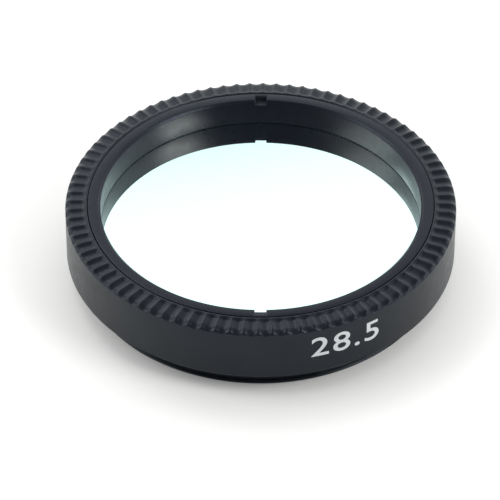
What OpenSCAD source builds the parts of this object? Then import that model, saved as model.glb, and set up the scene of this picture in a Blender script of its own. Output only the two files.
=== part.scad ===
// Narrow bandpass filter in a round screw-in cell: a fluted and shouldered cell,
// a coated glass disc on a ledge inside it, and a threaded ring that holds the glass down.
// The part stands on the end of its short male thread, centred on the Z axis.

/* [Cell] */
// Outside diameter of the cell's smooth band
body_d = 31.0; // [29.6:0.1:34]
// Overall height, from the end of the thread to the fluted rim
cell_h = 6.6; // [6.2:0.1:9]
// Width of the flat shoulder between the band and the short male thread
shoulder_w = 1.25; // [0.8:0.05:1.3]
// Height of the male thread under the shoulder
thread_h = 1.9; // [1.5:0.1:2.2]
// Width of the ledge that carries the glass, around the clear opening at the back
ledge_w = 1.0; // [0.8:0.05:3]
// Height of the ledge that carries the glass
ledge_z = 2.3; // [2:0.1:2.5]
// Wall from the band's face in to the bore that takes the glass and the ring
wall_t = 1.75; // [1.75:0.05:1.9]
// Bevel at the mouth of that bore
mouth_bevel = 0.2; // [0.1:0.05:0.2]
// Height of the steep bevel around the rim's outer edge
rim_bevel_h = 0.4; // [0.2:0.05:0.5]
// Width of that bevel
rim_bevel_w = 0.2; // [0.1:0.05:0.3]

/* [Flutes] */
// Number of flutes around the rim
flute_count = 88; // [72:8:96]
// Radius of the round bottom of each flute
flute_r = 0.8; // [0.7:0.05:1.2]
// Slope of the flutes, down and outward from the rim
flute_tilt = 17; // [14:1:30]
// Length of the flutes, from their start on the flat rim out to the band's face
flute_run = 1.5; // [1.2:0.05:1.5]

/* [Glass] */
// Clearance all round the coated glass disc, on the radius
glass_play = 0.2; // [0.15:0.05:0.4]
// Thickness of the coated glass disc
glass_t = 2.0; // [1.5:0.1:2.2]
// Bevel on both edges of the glass
glass_bevel = 0.12; // [0.05:0.01:0.2]

/* [Ring] */
// Wall of the ring, from its clear opening out to its threaded outside
ring_w = 1.0; // [0.8:0.05:1.7]
// Depth of the ring's face below the rim
ring_recess = 0.04; // [0:0.02:0.5]
// Bevel on the ring's inner front edge
ring_bevel = 0.2; // [0.05:0.05:0.25]
// Width of each of the two key notches
notch_w = 0.9; // [0.6:0.1:2]
// Wall left outside the notches
notch_wall = 0.35; // [0.25:0.05:0.5]
// Depth of the notches below the ring's face
notch_h = 0.4; // [0.3:0.05:0.9]

/* [Hidden] */
// Running clearance between the ring and the cell's bore, on the radius
ring_play = 0.04;
// Chamfer at the lead end of the male thread
thread_lead = 0.3;
// Small breaks on the cell's sharp turned edges
edge_break = 0.12;
lip_break = 0.2;
// Turn of the whole cell, in flutes, against the ring's notches
flute_phase = 0.35;
// Sides used for the turned surfaces: two to each flute
turn_sides = 2 * flute_count;
// Sides used for each flute's cutter
cutter_sides = 32;
// Overrun of cutters past the faces they break through
over = 0.5;

body_r = body_d / 2;
// Major radius of the male thread, which is drawn as a plain spigot
thread_r = body_r - shoulder_w;
bore_r = body_r - wall_t;
aperture_r = bore_r - ledge_w;
flute_start_r = body_r - flute_run;
glass_r = bore_r - glass_play;
glass_top = ledge_z + glass_t;
ring_top = cell_h - ring_recess;
ring_r = bore_r - ring_play;
ring_bore_r = ring_r - ring_w;
notch_r = ring_r - notch_wall;
// The cutter starts clear above the rim and ends clear outside the band
cutter_back = 2.5 * flute_r;
cutter_len = cutter_back + (body_r - flute_start_r + 1.5) / cos(flute_tilt);

// Half section of the cell before the flutes are cut, from the back lip outward and up
module cell_section() {
  polygon([
    [aperture_r + lip_break, 0],
    [thread_r - thread_lead, 0],
    [thread_r, thread_lead],
    [thread_r, thread_h],
    [body_r - edge_break, thread_h],
    [body_r, thread_h + edge_break],
    [body_r, cell_h - rim_bevel_h],
    [body_r - rim_bevel_w, cell_h],
    [bore_r + mouth_bevel, cell_h],
    [bore_r, cell_h - mouth_bevel],
    [bore_r, ledge_z],
    [aperture_r, ledge_z],
    [aperture_r, lip_break]
  ]);
}

// One round-bottomed cutter, lying along a line that slopes down and outward from the rim
module flute_cutter() {
  translate([flute_start_r + flute_r * sin(flute_tilt), 0, cell_h + flute_r * cos(flute_tilt)])
    rotate([0, 90 + flute_tilt, 0])
      translate([0, 0, -cutter_back])
        cylinder(r = flute_r, h = cutter_len, $fn = cutter_sides);
}

// Turned cell with the ring of sloping flutes that gives a grip at its front edge
module cell() {
  color([0.09, 0.09, 0.1])
    rotate([0, 0, flute_phase * 360 / flute_count])
      difference() {
        rotate_extrude($fn = turn_sides)
          cell_section();
        for (i = [0 : flute_count - 1])
          rotate([0, 0, i * 360 / flute_count])
            flute_cutter();
      }
}

// Coated glass disc, seated on the ledge
module filter_glass() {
  color([0.72, 0.93, 0.93])
    rotate_extrude($fn = turn_sides)
      polygon([
        [0, ledge_z],
        [glass_r - glass_bevel, ledge_z],
        [glass_r, ledge_z + glass_bevel],
        [glass_r, glass_top - glass_bevel],
        [glass_r - glass_bevel, glass_top],
        [0, glass_top]
      ]);
}

// Key notch through the ring's inner front edge
module key_notch() {
  translate([-notch_w / 2, ring_bore_r - over, ring_top - notch_h])
    cube([notch_w, notch_r - ring_bore_r + over, notch_h + over]);
}

// Ring that screws down on the glass, with two opposite key notches
module retaining_ring() {
  color([0.11, 0.11, 0.12])
    difference() {
      rotate_extrude($fn = turn_sides)
        polygon([
          [ring_bore_r, glass_top],
          [ring_r, glass_top],
          [ring_r, ring_top],
          [ring_bore_r + ring_bevel, ring_top],
          [ring_bore_r, ring_top - ring_bevel]
        ]);
      for (a = [0, 180])
        rotate([0, 0, a])
          key_notch();
    }
}

cell();
filter_glass();
retaining_ring();
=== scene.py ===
import math

import bmesh
import bpy
from mathutils import Matrix, Vector


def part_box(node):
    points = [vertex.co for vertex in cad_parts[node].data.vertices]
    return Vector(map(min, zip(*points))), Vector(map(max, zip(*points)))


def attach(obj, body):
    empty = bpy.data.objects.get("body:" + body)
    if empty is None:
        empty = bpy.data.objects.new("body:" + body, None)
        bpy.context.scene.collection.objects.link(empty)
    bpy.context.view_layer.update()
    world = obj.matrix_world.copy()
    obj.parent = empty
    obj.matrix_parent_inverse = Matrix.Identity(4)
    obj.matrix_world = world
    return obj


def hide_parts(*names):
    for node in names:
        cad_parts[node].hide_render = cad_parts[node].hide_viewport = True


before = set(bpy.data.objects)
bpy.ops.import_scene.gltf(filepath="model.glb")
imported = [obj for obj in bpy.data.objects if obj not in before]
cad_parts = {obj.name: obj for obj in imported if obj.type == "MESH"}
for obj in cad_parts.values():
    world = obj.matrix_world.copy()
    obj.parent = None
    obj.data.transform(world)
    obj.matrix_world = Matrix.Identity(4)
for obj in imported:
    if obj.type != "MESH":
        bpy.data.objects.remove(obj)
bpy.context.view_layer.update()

MM = 0.001


# Sizes that the CAD frame gives, in millimetres, to the nearest hundredth

def reach_of(node):
    return round(max(abs(place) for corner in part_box(node) for place in corner[:2]) / MM, 2)


def heights_of(node):
    return [round(corner.z / MM, 2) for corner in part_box(node)]


BAND_R = reach_of("cell")
CELL_H = heights_of("cell")[1]
GLASS_R = reach_of("filter_glass")
LEDGE_Z, GLASS_TOP = heights_of("filter_glass")
RING_R = reach_of("retaining_ring")
RING_TOP = heights_of("retaining_ring")[1]

# The other sizes of the cell, in millimetres, as in its CAD source, with finer edge breaks
SHOULDER_W = 1.25
WALL_T = 1.75
LEDGE_W = 1.0
THREAD_H = 1.9
THREAD_LEAD = 0.12
MOUTH_BEVEL = 0.1
LIP_BREAK = 0.2
EDGE_BREAK = 0.1
RIM_BEVEL_H = 0.4
RIM_BEVEL_W = 0.2
THREAD_R = BAND_R - SHOULDER_W
BORE_R = BAND_R - WALL_T
APERTURE_R = BORE_R - LEDGE_W

# Flutes: each starts on the flat rim with a domed end, runs out almost level, and bends down
# towards the band's face
FLUTES = 88
FLUTE_COLUMNS = 10
FLUTE_PHASE = 0.35
FLUTE_PITCH = 2 * math.pi / FLUTES
FLUTE_R = 0.8
FLUTE_H = 0.17
FLUTE_DOME = 0.22
FLUTE_SLOPE = 0.06
FLUTE_BEND = 0.65
FLUTE_RUN = 1.5
FLUTE_BEND_RUN = 0.55
FLUTE_START_R = BAND_R - FLUTE_RUN
FLUTE_BEND_R = BAND_R - FLUTE_BEND_RUN

# Spiral of the male thread, which fades out just under the shoulder
THREAD_PITCH = 0.6
THREAD_DEPTH = 0.36
THREAD_STEEPNESS = 1.35
THREAD_ROOT = 0.18
THREAD_RELIEF = 0.12
THREAD_FADE = 0.3

# Ring and glass
GLASS_BEVEL = 0.12
RING_W = 1.0
RING_BORE_R = RING_R - RING_W
RING_BEVEL = 0.2
RING_SECTORS = 32
RING_COLUMNS = 11
RING_SIDES = RING_SECTORS * RING_COLUMNS
NOTCH_W = 0.9
NOTCH_WALL = 0.35
NOTCH_R = RING_R - NOTCH_WALL
NOTCH_H = 0.4

# Roundings of edges, in millimetres, from the softest to the crispest
SOFT = 0.1
ROUND = 0.05
EASED = 0.04
FINE = 0.03
CRISP = 0.02

# Size figures on the band: they start a little to the right of the front, which is -Y
FIGURES = "28.5"
FIGURES_H = 1.9
FIGURES_Z = 3.55
FIGURES_START = math.radians(-90 + 14.6)
FIGURES_STRETCH = 1.2
FIGURES_SPACING = 1.12
FIGURES_BOLDNESS = 0.008
FIGURES_STEP = 0.25
FIGURES_MERGE = 0.004
INK_T = 0.02
INK_PROUD = 0.006


# Small helpers for materials

def new_material(name):
    material = bpy.data.materials.new(name)
    material.use_nodes = True
    nodes = material.node_tree.nodes
    links = material.node_tree.links
    return material, nodes, links, nodes["Principled BSDF"]


def noise_of(nodes, links, coords, scale, detail):
    noise = nodes.new("ShaderNodeTexNoise")
    noise.inputs["Scale"].default_value = scale
    noise.inputs["Detail"].default_value = detail
    links.new(coords, noise.inputs["Vector"])
    return noise.outputs["Fac"]


def ramp_of(nodes, links, value, source, target):
    span = nodes.new("ShaderNodeMapRange")
    span.inputs["From Min"].default_value = source[0]
    span.inputs["From Max"].default_value = source[1]
    span.inputs["To Min"].default_value = target[0]
    span.inputs["To Max"].default_value = target[1]
    links.new(value, span.inputs["Value"])
    return span.outputs["Result"]


def mix_colours(nodes, links, factor, first, second):
    mix = nodes.new("ShaderNodeMix")
    mix.data_type = "RGBA"
    links.new(factor, mix.inputs[0])
    mix.inputs[6].default_value = (*first, 1)
    mix.inputs[7].default_value = (*second, 1)
    return mix.outputs[2]


def feed(links, socket, value):
    if isinstance(value, float):
        socket.default_value = value
    else:
        links.new(value, socket)


def mix_values(nodes, links, factor, first, second):
    mix = nodes.new("ShaderNodeMix")
    mix.data_type = "FLOAT"
    links.new(factor, mix.inputs[0])
    feed(links, mix.inputs[2], first)
    feed(links, mix.inputs[3], second)
    return mix.outputs[0]


def math_of(nodes, links, operation, *values):
    node = nodes.new("ShaderNodeMath")
    node.operation = operation
    for socket, value in zip(node.inputs, values):
        feed(links, socket, value)
    return node.outputs[0]


def bump_of(nodes, links, height, strength, distance):
    bump = nodes.new("ShaderNodeBump")
    bump.inputs["Strength"].default_value = strength
    bump.inputs["Distance"].default_value = distance
    links.new(height, bump.inputs["Height"])
    return bump


# Black anodised aluminium: a fine matt grain over faint turning lines
def anodised_black(name, dark, light, roughness, line_scale, sheen_tint):
    material, nodes, links, shader = new_material(name)
    coords = nodes.new("ShaderNodeTexCoord").outputs["Object"]
    middle = (0.3, 0.7)
    clouds = noise_of(nodes, links, coords, scale=420.0, detail=3.0)
    blend = ramp_of(nodes, links, clouds, source=middle, target=(0.0, 1.0))
    links.new(mix_colours(nodes, links, blend, dark, light), shader.inputs["Base Color"])
    patches = noise_of(nodes, links, coords, scale=1300.0, detail=3.0)
    satin = ramp_of(nodes, links, patches, source=middle, target=roughness)
    links.new(satin, shader.inputs["Roughness"])
    grain = noise_of(nodes, links, coords, scale=16000.0, detail=2.0)
    lines = nodes.new("ShaderNodeTexWave")
    lines.wave_type = "RINGS"
    lines.rings_direction = "Z"
    lines.inputs["Scale"].default_value = line_scale
    lines.inputs["Distortion"].default_value = 0.6
    lines.inputs["Detail"].default_value = 1.0
    links.new(coords, lines.inputs["Vector"])
    grain_bump = bump_of(nodes, links, grain, strength=0.25, distance=0.008 * MM)
    line_bump = bump_of(nodes, links, lines.outputs["Fac"], strength=0.12, distance=0.006 * MM)
    links.new(grain_bump.outputs["Normal"], line_bump.inputs["Normal"])
    links.new(line_bump.outputs["Normal"], shader.inputs["Normal"])
    shader.inputs["IOR"].default_value = 1.38
    shader.inputs["Specular Tint"].default_value = (*sheen_tint, 1)
    return material


# Interference-coated glass: a mirror with a pale cyan tint
def coated_glass(name):
    material, nodes, links, shader = new_material(name)
    coords = nodes.new("ShaderNodeTexCoord").outputs["Object"]
    drift = noise_of(nodes, links, coords, scale=60.0, detail=1.0)
    tint = mix_colours(nodes, links, drift, (0.74, 0.985, 0.95), (0.77, 1.0, 0.965))
    links.new(tint, shader.inputs["Base Color"])
    haze = noise_of(nodes, links, coords, scale=900.0, detail=4.0)
    polish = ramp_of(nodes, links, haze, source=(0.35, 0.7), target=(0.012, 0.03))
    links.new(polish, shader.inputs["Roughness"])
    shader.inputs["Metallic"].default_value = 1.0
    return material


# White printing ink, slightly uneven
def printing_ink(name):
    material, nodes, links, shader = new_material(name)
    coords = nodes.new("ShaderNodeTexCoord").outputs["Object"]
    spots = noise_of(nodes, links, coords, scale=9000.0, detail=2.0)
    colour = mix_colours(nodes, links, spots, (0.62, 0.63, 0.66), (0.8, 0.81, 0.83))
    links.new(colour, shader.inputs["Base Color"])
    shader.inputs["Roughness"].default_value = 0.55
    return material


# Small helpers for turned pieces

# Each corner has a radius, a height, a rounding and the cuts made in the edge that follows it
def section_wire(bm, corners):
    points = [bm.verts.new((r * MM, 0, z * MM)) for r, z, _, _ in corners]
    edges = [bm.edges.new(pair) for pair in zip(points, points[1:] + points[:1])]
    for edge, (_, _, _, cuts) in zip(edges, corners):
        if cuts:
            bmesh.ops.subdivide_edges(bm, edges=[edge], cuts=cuts)
    for r, z, rounding, _ in corners:
        if rounding > 0:
            place = Vector((r * MM, 0, z * MM))
            corner = min(bm.verts, key=lambda vert: (vert.co - place).length)
            bmesh.ops.bevel(bm, geom=[corner], offset=rounding * MM, offset_type="OFFSET", segments=3,
                            profile=0.5, affect="VERTICES", material=-1, clamp_overlap=True)


# The wire is turned through one sector, and the sector is repeated all round
def turn(bm, sectors, columns, start):
    sector_angle = 2 * math.pi / sectors
    bmesh.ops.rotate(bm, verts=bm.verts[:], cent=(0, 0, 0), matrix=Matrix.Rotation(start, 3, "Z"))
    bmesh.ops.spin(bm, geom=bm.verts[:] + bm.edges[:], cent=(0, 0, 0), axis=(0, 0, 1), dvec=(0, 0, 0),
                   angle=sector_angle, steps=columns, use_merge=False, use_duplicate=False)
    sector = bpy.data.meshes.new("sector")
    bm.to_mesh(sector)
    for _ in range(sectors - 1):
        sector.transform(Matrix.Rotation(sector_angle, 4, "Z"))
        bm.from_mesh(sector)
    bpy.data.meshes.remove(sector)
    bmesh.ops.remove_doubles(bm, verts=bm.verts[:], dist=1e-6)
    bmesh.ops.recalc_face_normals(bm, faces=bm.faces[:])


# The mesh becomes an object in the scene
def object_from(bm, name):
    mesh = bpy.data.meshes.new(name)
    bm.to_mesh(mesh)
    bm.free()
    made = bpy.data.objects.new(name, mesh)
    bpy.context.scene.collection.objects.link(made)
    return made


def piece_from(bm, name, material, node=None, smooth=True):
    for face in bm.faces:
        face.smooth = smooth
    piece = object_from(bm, name)
    piece.data.materials.append(material)
    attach(piece, "root")
    if node:
        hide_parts(node)
    return piece


def keep_flats_flat(piece):
    weighted = piece.modifiers.new("flats", "WEIGHTED_NORMAL")
    weighted.mode = "FACE_AREA"
    weighted.weight = 100
    weighted.keep_sharp = True


# The mesh as its modifiers leave it
def finished_mesh(source):
    bpy.context.view_layer.update()
    depsgraph = bpy.context.evaluated_depsgraph_get()
    return bpy.data.meshes.new_from_object(source.evaluated_get(depsgraph))


def apply_modifiers(piece):
    done = finished_mesh(piece)
    piece.modifiers.clear()
    piece.data = done


# Cell: one turned body, its rim cut by sloping round-bottomed flutes, its spigot threaded

def clamp(value):
    return min(max(value, 0.0), 1.0)


def soft_min(first, second, width):
    blend = max(width - abs(first - second), 0.0) / width
    return min(first, second) - blend * blend * width / 4


def flute_depth(radius):
    inner = clamp((radius - FLUTE_START_R) / FLUTE_DOME)
    domed = FLUTE_H * math.sqrt(1 - (1 - inner) ** 2)
    sloped = FLUTE_SLOPE * max(radius - FLUTE_START_R, 0.0)
    return domed + sloped + FLUTE_BEND * max(radius - FLUTE_BEND_R, 0.0) ** 2


# Beyond its half width a flute has no floor, so a height well above the rim is given there
def flute_floor(radius, angle):
    across = radius * math.sin(angle)
    half_width = FLUTE_R * 0.98
    if abs(across) > half_width:
        return CELL_H + 1.0
    return CELL_H - flute_depth(radius) + FLUTE_R - math.sqrt(FLUTE_R ** 2 - across ** 2)


def rim_height(radius, turn_angle):
    offset = (turn_angle / FLUTE_PITCH - FLUTE_PHASE + 0.5) % 1.0 - 0.5
    own = flute_floor(radius, offset * FLUTE_PITCH)
    beside = flute_floor(radius, (abs(offset) - 1.0) * FLUTE_PITCH)
    return soft_min(soft_min(own, beside, SOFT), CELL_H, EASED)


def thread_radius(height, turn_angle):
    wound = (height / THREAD_PITCH - turn_angle / (2 * math.pi)) % 1.0
    tooth = clamp((1 - abs(2 * wound - 1)) * THREAD_STEEPNESS - THREAD_ROOT)
    fade = clamp((THREAD_H - THREAD_RELIEF - height) / THREAD_FADE)
    return THREAD_R - THREAD_DEPTH * (1 - tooth) * fade * fade * (3 - 2 * fade)


def build_cell(material):
    bevel_foot = CELL_H - RIM_BEVEL_H
    flutes_foot = bevel_foot - 0.15
    thread_core = THREAD_R - THREAD_LEAD - 0.1
    corners = [
        (APERTURE_R + LIP_BREAK, 0, ROUND, 0),
        (THREAD_R - THREAD_LEAD, 0, ROUND, 3),
        (THREAD_R, THREAD_LEAD, 0, 20),
        (THREAD_R, THREAD_H, 0, 0),
        (BAND_R - EDGE_BREAK, THREAD_H, FINE, 0),
        (BAND_R, THREAD_H + EDGE_BREAK, ROUND, 0),
        (BAND_R, flutes_foot, 0, 0),
        (BAND_R, bevel_foot, EASED, 5),
        (BAND_R - RIM_BEVEL_W, CELL_H, 0, 16),
        (BORE_R + MOUTH_BEVEL, CELL_H, FINE, 0),
        (BORE_R, CELL_H - MOUTH_BEVEL, CRISP, 0),
        (BORE_R, LEDGE_Z, 0, 0),
        (APERTURE_R, LEDGE_Z, ROUND, 0),
        (APERTURE_R, LIP_BREAK, ROUND, 0),
    ]
    bm = bmesh.new()
    section_wire(bm, corners)
    turn(bm, FLUTES, FLUTE_COLUMNS, (FLUTE_PHASE - 0.5) * FLUTE_PITCH)
    rim_blend = 0.06
    margin = 0.02
    for vert in bm.verts:
        radius = math.hypot(vert.co.x, vert.co.y) / MM
        height = vert.co.z / MM
        angle = math.atan2(vert.co.y, vert.co.x)
        if height > flutes_foot - margin and radius > BORE_R + margin:
            vert.co.z = soft_min(height, rim_height(radius, angle), rim_blend) * MM
        elif height < THREAD_H - margin and radius > thread_core:
            limit = min(radius, thread_radius(height, angle))
            vert.co.x *= limit / radius
            vert.co.y *= limit / radius
    bmesh.ops.recalc_face_normals(bm, faces=bm.faces[:])
    piece = piece_from(bm, "fluted_cell", material, "cell")
    keep_flats_flat(piece)


# Ring: a turned section with two key notches cut across its inner front edge

def notch_cutter(side):
    inward = 0.6
    upward = 0.4
    depth = NOTCH_R - RING_BORE_R + inward
    bm = bmesh.new()
    bmesh.ops.create_cube(bm, size=1.0)
    bmesh.ops.scale(bm, verts=bm.verts[:], vec=(NOTCH_W * MM, depth * MM, (NOTCH_H + upward) * MM))
    middle = side * (NOTCH_R - depth / 2) * MM
    rise = (RING_TOP - NOTCH_H / 2 + upward / 2) * MM
    bmesh.ops.translate(bm, verts=bm.verts[:], vec=(0, middle, rise))
    return object_from(bm, "notch_cutter")


def build_ring(material, bore_material, notch_material):
    corners = [
        (RING_BORE_R, GLASS_TOP, SOFT, 0),
        (RING_R, GLASS_TOP, ROUND, 0),
        (RING_R, RING_TOP, FINE, 0),
        (RING_BORE_R + RING_BEVEL, RING_TOP, CRISP, 0),
        (RING_BORE_R, RING_TOP - RING_BEVEL, CRISP, 0),
    ]
    bm = bmesh.new()
    section_wire(bm, corners)
    # Half a column's turn keeps the notches' sides clear of the columns of vertices
    half_column = math.pi / RING_SIDES
    turn(bm, RING_SECTORS, RING_COLUMNS, half_column)
    piece = piece_from(bm, "notched_ring", material, "retaining_ring")
    cutters = [notch_cutter(side) for side in (1, -1)]
    for cutter in cutters:
        cut = piece.modifiers.new("notch", "BOOLEAN")
        cut.operation = "DIFFERENCE"
        cut.solver = "EXACT"
        cut.object = cutter
    apply_modifiers(piece)
    for cutter in cutters:
        bpy.data.objects.remove(cutter, do_unlink=True)
    soften = piece.modifiers.new("edges", "BEVEL")
    soften.limit_method = "ANGLE"
    soften.angle_limit = math.radians(50)
    soften.width = FINE * MM
    soften.segments = 2
    keep_flats_flat(piece)
    apply_modifiers(piece)
    paint_ring(piece, bore_material, notch_material)


# The bore's wall and the faces of the notches get materials of their own: the bore's colours are
# painted reflection and painted highlight colour, and the notches' lighter colour is painted light
# that lifts the shade inside them
def paint_ring(piece, bore_material, notch_material):
    piece.data.materials.append(bore_material)
    piece.data.materials.append(notch_material)
    near = 0.01
    above_foot = GLASS_TOP + 0.5
    for polygon in piece.data.polygons:
        radius = math.hypot(polygon.center.x, polygon.center.y) / MM
        height = polygon.center.z / MM
        beside = abs(polygon.center.x)
        if radius < RING_BORE_R + near:
            polygon.material_index = 1
        elif radius < NOTCH_R + ROUND and beside < (NOTCH_W / 2 + near) * MM:
            if above_foot < height < RING_TOP - FINE:
                polygon.material_index = 2


# Glass: a flat disc with both rims bevelled; its faces stay flat so that it mirrors cleanly
def build_glass(material):
    bm = bmesh.new()
    bmesh.ops.create_circle(bm, cap_ends=True, segments=RING_SIDES, radius=GLASS_R * MM)
    bmesh.ops.translate(bm, verts=bm.verts[:], vec=(0, 0, LEDGE_Z * MM))
    raised = bmesh.ops.extrude_face_region(bm, geom=bm.faces[:], use_keep_orig=True)
    lifted = [part for part in raised["geom"] if isinstance(part, bmesh.types.BMVert)]
    bmesh.ops.translate(bm, verts=lifted, vec=(0, 0, (GLASS_TOP - LEDGE_Z) * MM))
    bmesh.ops.recalc_face_normals(bm, faces=bm.faces[:])
    rims = [edge for edge in bm.edges if len(edge.link_faces) == 2
            and edge.calc_face_angle() > math.radians(60)]
    bmesh.ops.bevel(bm, geom=rims, offset=GLASS_BEVEL * MM, offset_type="OFFSET", segments=3,
                    profile=0.5, affect="EDGES", material=-1, clamp_overlap=True)
    bmesh.ops.recalc_face_normals(bm, faces=bm.faces[:])
    piece = piece_from(bm, "coated_glass_disc", material, "filter_glass")
    # Only the two flat faces have more than four corners
    for polygon in piece.data.polygons:
        if len(polygon.vertices) > 4:
            polygon.use_smooth = False


# Plain size figures printed on the band: a flat sheet of ink, bent to the band's curve
def build_figures(material):
    writing = bpy.data.curves.new("size_figures", "FONT")
    writing.body = FIGURES
    writing.size = 1.0
    writing.space_character = FIGURES_SPACING
    writing.resolution_u = 10
    writing.offset = FIGURES_BOLDNESS
    flat = bpy.data.objects.new("flat_figures", writing)
    bpy.context.scene.collection.objects.link(flat)
    mesh = finished_mesh(flat)
    bpy.data.objects.remove(flat, do_unlink=True)
    bm = bmesh.new()
    bm.from_mesh(mesh)
    low_x = min(vert.co.x for vert in bm.verts)
    low_y = min(vert.co.y for vert in bm.verts)
    high_y = max(vert.co.y for vert in bm.verts)
    scale = FIGURES_H / (high_y - low_y)
    for vert in bm.verts:
        vert.co.x = (vert.co.x - low_x) * scale * FIGURES_STRETCH
        vert.co.y = (vert.co.y - low_y) * scale
    width = max(vert.co.x for vert in bm.verts)
    bmesh.ops.remove_doubles(bm, verts=bm.verts[:], dist=FIGURES_MERGE)
    for number in range(1, int(width / FIGURES_STEP) + 1):
        bmesh.ops.bisect_plane(bm, geom=bm.verts[:] + bm.edges[:] + bm.faces[:], dist=1e-5,
                               plane_co=(number * FIGURES_STEP, 0, 0), plane_no=(1, 0, 0))
    bmesh.ops.triangulate(bm, faces=bm.faces[:], quad_method="BEAUTY", ngon_method="BEAUTY")
    bmesh.ops.remove_doubles(bm, verts=bm.verts[:], dist=FIGURES_MERGE)
    bmesh.ops.recalc_face_normals(bm, faces=bm.faces[:])
    bmesh.ops.solidify(bm, geom=bm.verts[:] + bm.edges[:] + bm.faces[:], thickness=INK_T)
    for vert in bm.verts:
        angle = FIGURES_START + vert.co.x / BAND_R
        radius = BAND_R + INK_PROUD + vert.co.z
        height = FIGURES_Z + vert.co.y
        vert.co = Vector((radius * math.cos(angle) * MM, radius * math.sin(angle) * MM, height * MM))
    piece_from(bm, "size_figures", material, smooth=False)


cell_finish = anodised_black(
    "cell_anodising", dark=(0.0045, 0.006, 0.0095), light=(0.008, 0.0095, 0.013),
    roughness=(0.28, 0.36), line_scale=9000.0, sheen_tint=(0.76, 0.86, 1.0))
ring_finish = anodised_black(
    "ring_anodising", dark=(0.004, 0.005, 0.0085), light=(0.007, 0.008, 0.012),
    roughness=(0.24, 0.32), line_scale=12000.0, sheen_tint=(0.66, 0.74, 0.90))
# The bore's wall: a bluish base painted in for the bluish reflection of the dim front, and a pink
# sheen tint that turns the light it gets from the cyan glass into warm grey highlights, which is
# painted reflection and highlight colour
bore_painted_reflection_finish = anodised_black(
    "bore_anodising_painted_reflection", dark=(0.0048, 0.0068, 0.0155), light=(0.0068, 0.0088, 0.0185),
    roughness=(0.26, 0.33), line_scale=12000.0, sheen_tint=(1.0, 0.75, 0.76))
# The notches' faces: rougher, and painted three to four times lighter than the rest of the ring,
# which is painted light in their shade
notch_painted_light_finish = anodised_black(
    "notch_milling_painted_light", dark=(0.018, 0.020, 0.028), light=(0.024, 0.027, 0.036),
    roughness=(0.45, 0.55), line_scale=12000.0, sheen_tint=(0.82, 0.9, 1.0))
mirror_finish = coated_glass("coated_glass")
ink_finish = printing_ink("printing_ink")

build_cell(cell_finish)
build_ring(ring_finish, bore_painted_reflection_finish, notch_painted_light_finish)
build_glass(mirror_finish)
build_figures(ink_finish)


# Pale floor: lit by the lamps, and lifted towards white only where the camera looks at it.
# The lift grows with the distance from the filter, in metres, so the floor round the filter is left
# darker: a painted shade
FLOOR_R = 3.0
FLOOR_SIDES = 96
GLOW_REACH = (0.02, 0.6)
GLOW_STRENGTH = (0.12, 0.42)


def build_floor():
    bm = bmesh.new()
    bmesh.ops.create_circle(bm, cap_ends=True, segments=FLOOR_SIDES, radius=FLOOR_R)
    floor = object_from(bm, "studio_floor")
    material, nodes, links, shader = new_material("floor_paper")
    shader.inputs["Base Color"].default_value = (0.868, 0.866, 0.838, 1)
    shader.inputs["Roughness"].default_value = 0.8
    shader.inputs["Specular IOR Level"].default_value = 0.2
    shader.inputs["Emission Color"].default_value = (1, 1, 1, 1)
    coords = nodes.new("ShaderNodeTexCoord").outputs["Object"]
    reach = nodes.new("ShaderNodeVectorMath")
    reach.operation = "LENGTH"
    links.new(coords, reach.inputs[0])
    # Less glow near the filter: a painted shade round it
    glow = ramp_of(nodes, links, reach.outputs["Value"], GLOW_REACH, GLOW_STRENGTH)
    path = nodes.new("ShaderNodeLightPath")
    lift = math_of(nodes, links, "MULTIPLY", path.outputs["Is Camera Ray"], glow)
    links.new(lift, shader.inputs["Emission Strength"])
    floor.data.materials.append(material)


# Surroundings: what is mirrored is bright behind and far to the sides, dim in front and
# overhead, and has a darker stripe part way up, which slants a little to one side. The diffuse
# fill is softer, and the camera itself sees a plain near-white.
# Each stop of the stripe is a height and a level
DIP_SLANT = 0.12
DIP_STOPS = ((0.50, 1.0), (0.59, 0.74), (0.626, 0.70), (0.6395, 0.95), (0.646, 1.0))


def build_surroundings():
    world = bpy.data.worlds.new("studio")
    bpy.context.scene.world = world
    world.use_nodes = True
    nodes = world.node_tree.nodes
    links = world.node_tree.links
    direction = nodes.new("ShaderNodeTexCoord").outputs["Generated"]
    split = nodes.new("ShaderNodeSeparateXYZ")
    links.new(direction, split.inputs[0])
    across, depth, height = split.outputs
    behind = ramp_of(nodes, links, depth, source=(0.15, 0.68), target=(0.0, 1.0))
    below_top = ramp_of(nodes, links, height, source=(0.66, 0.86), target=(1.0, 0.0))
    both = math_of(nodes, links, "MULTIPLY", behind, below_top)
    open_sky = ramp_of(nodes, links, both, source=(0.0, 1.0), target=(0.33, 1.4))
    sideways = math_of(nodes, links, "ABSOLUTE", across)
    flanks = ramp_of(nodes, links, sideways, source=(0.45, 0.78), target=(0.0, 1.3))
    sky = math_of(nodes, links, "MAXIMUM", open_sky, flanks)
    dip = nodes.new("ShaderNodeValToRGB")
    for _ in DIP_STOPS[2:]:
        dip.color_ramp.elements.new(0.5)
    for stop, (place, level) in zip(dip.color_ramp.elements, DIP_STOPS):
        stop.position = place
        stop.color = (level, level, level, 1)
    links.new(math_of(nodes, links, "MULTIPLY_ADD", across, DIP_SLANT, height), dip.inputs[0])
    mirrored = math_of(nodes, links, "MULTIPLY", sky, dip.outputs["Color"])
    fill = ramp_of(nodes, links, depth, source=(-0.8, 0.9), target=(0.1, 1.8))
    path = nodes.new("ShaderNodeLightPath")
    glossy = path.outputs["Is Glossy Ray"]
    direct = math_of(nodes, links, "MAXIMUM", path.outputs["Is Camera Ray"],
                     path.outputs["Is Transmission Ray"])
    around = mix_values(nodes, links, glossy, fill, mirrored)
    background = nodes["Background"]
    background.inputs["Color"].default_value = (0.97, 0.985, 1.0, 1)
    links.new(mix_values(nodes, links, direct, around, 1.0), background.inputs["Strength"])


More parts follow.
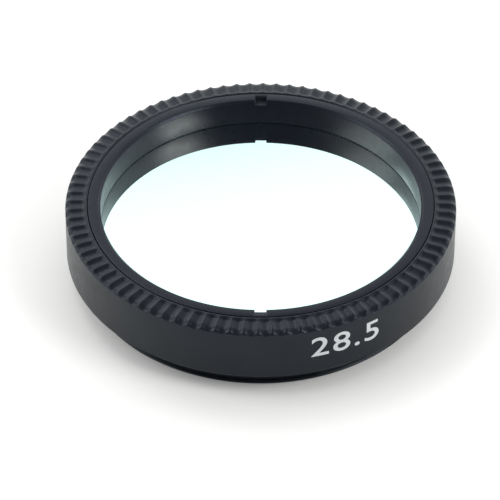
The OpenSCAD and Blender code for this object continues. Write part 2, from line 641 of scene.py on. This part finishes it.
# Square softboxes that face the filter: name, direction towards the lamp, side in metres and
# radiance
SOFTBOX_DISTANCE = 0.5
SOFTBOXES = (
    ("left_back_softbox", (-0.34, 0.49, 0.80), 0.17, 2.6),
    ("left_softbox", (-0.766, 0.0, 0.643), 0.28, 2.2),
    ("right_softbox", (0.683, -0.348, 0.643), 0.20, 6.5),
)


def build_softbox(name, toward, size, radiance):
    light = bpy.data.lights.new(name, "AREA")
    light.shape = "SQUARE"
    light.size = size
    light.energy = radiance * math.pi * size * size
    lamp = bpy.data.objects.new(name, light)
    direction = Vector(toward).normalized()
    lamp.location = direction * SOFTBOX_DISTANCE
    lamp.rotation_euler = direction.to_track_quat("Z", "Y").to_euler()
    bpy.context.scene.collection.objects.link(lamp)


# Camera: 40 degrees up, looking from -Y, with the framing of the photograph.
# The lens and the shifts of the framing are in pixels of the photograph
CAMERA_RISE = math.radians(40.0)
CAMERA_DISTANCE = 0.300
CAMERA_TARGET = Vector((0, 0, 6.8 * MM))
PHOTO_PIXELS = 500
LENS_PIXELS = 3787.0
SHIFT_RIGHT = 10.6
SHIFT_UP = 50.8
SENSOR = 36.0


def build_camera():
    back = Vector((0, -math.cos(CAMERA_RISE), math.sin(CAMERA_RISE)))
    eye = CAMERA_TARGET + CAMERA_DISTANCE * back
    ahead = (CAMERA_TARGET - eye).normalized()
    right = Vector((1, 0, 0))
    up = right.cross(ahead)
    aim = (ahead - right * (SHIFT_RIGHT / LENS_PIXELS) - up * (SHIFT_UP / LENS_PIXELS)).normalized()
    data = bpy.data.cameras.new("photo_camera")
    data.sensor_width = SENSOR
    data.lens = LENS_PIXELS / PHOTO_PIXELS * SENSOR
    data.clip_start = 0.01
    data.clip_end = 20.0
    camera = bpy.data.objects.new("photo_camera", data)
    camera.location = eye
    camera.rotation_euler = aim.to_track_quat("-Z", "Y").to_euler()
    bpy.context.scene.collection.objects.link(camera)
    bpy.context.scene.camera = camera


build_floor()
build_surroundings()
for softbox in SOFTBOXES:
    build_softbox(*softbox)
build_camera()
bpy.context.scene.view_settings.view_transform = "Standard"
